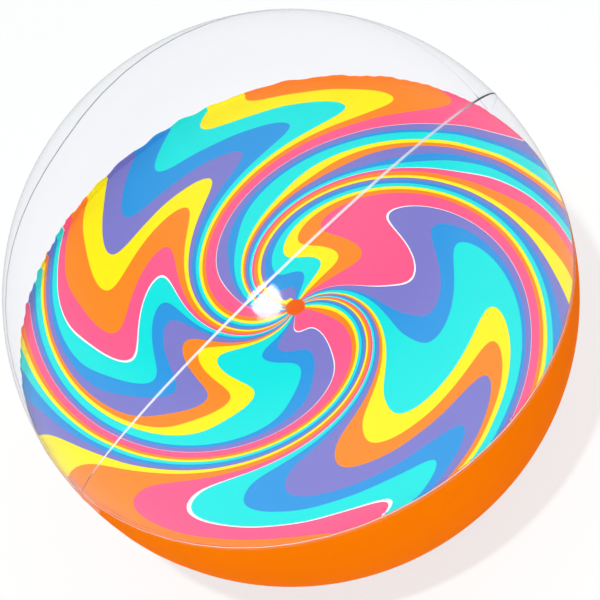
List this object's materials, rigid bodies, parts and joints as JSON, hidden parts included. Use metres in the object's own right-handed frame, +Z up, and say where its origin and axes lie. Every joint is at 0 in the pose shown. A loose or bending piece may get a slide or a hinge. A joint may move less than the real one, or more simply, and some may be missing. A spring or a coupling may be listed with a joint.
{
  "type": "beach ball",
  "caption": "Inflated film beach ball, clear on one half and orange on the other, with a printed film disc across its middle and a push-in air valve.",
  "frame": {"origin": "centre of the patch that the ball's weight flattens, on the surface it stands on", "axes": "+Z up through the clear half, square to the printed disc; X along the line between the poles; +Y towards the half of the ball that holds the valve"},
  "size_m": [0.4026, 0.4012, 0.3989],
  "materials": {
    "clear_film": "clear gloss vinyl film",
    "orange_film": "opaque satin-gloss vinyl film",
    "printed_film": "vinyl film printed with a many-coloured swirl",
    "moulded_vinyl": "soft moulded vinyl, milky"
  },
  "bodies": {
    "ball": {"clear_gore_front": "clear_film", "clear_gore_top": "clear_film", "clear_gore_back": "clear_film", "orange_gore_back": "orange_film", "orange_gore_bottom": "orange_film", "orange_gore_front": "orange_film", "printed_disc": "printed_film", "pole_patch_left": "clear_film", "pole_patch_right": "clear_film", "valve_flange": "moulded_vinyl"},
    "valve": {"valve_skirt": "moulded_vinyl", "valve_stem": "moulded_vinyl", "plug_strap": "moulded_vinyl"},
    "plug": {"valve_plug": "moulded_vinyl"},
    "flap": {"check_flap": "moulded_vinyl"}
  },
  "joints": [
    {"name": "valve_pull", "type": "slide", "parent": "ball", "child": "valve", "axis": [0, 0.866, -0.5], "range_m": [0, 0.013], "deforming": ["valve_skirt"]},
    {"name": "plug_flip", "type": "hinge", "parent": "valve", "child": "plug", "pos_m": [0.0069, 0.17155, 0.09995], "axis": [0, -0.5, -0.866], "range_deg": [0, 120], "deforming": ["plug_strap"]},
    {"name": "flap_swing", "type": "hinge", "parent": "valve", "child": "flap", "pos_m": [0.005, 0.16003, 0.1066], "axis": [0, 0.5, 0.866], "range_deg": [0, 60], "stiffness_Nm_per_rad": 0.0002}
  ]
}
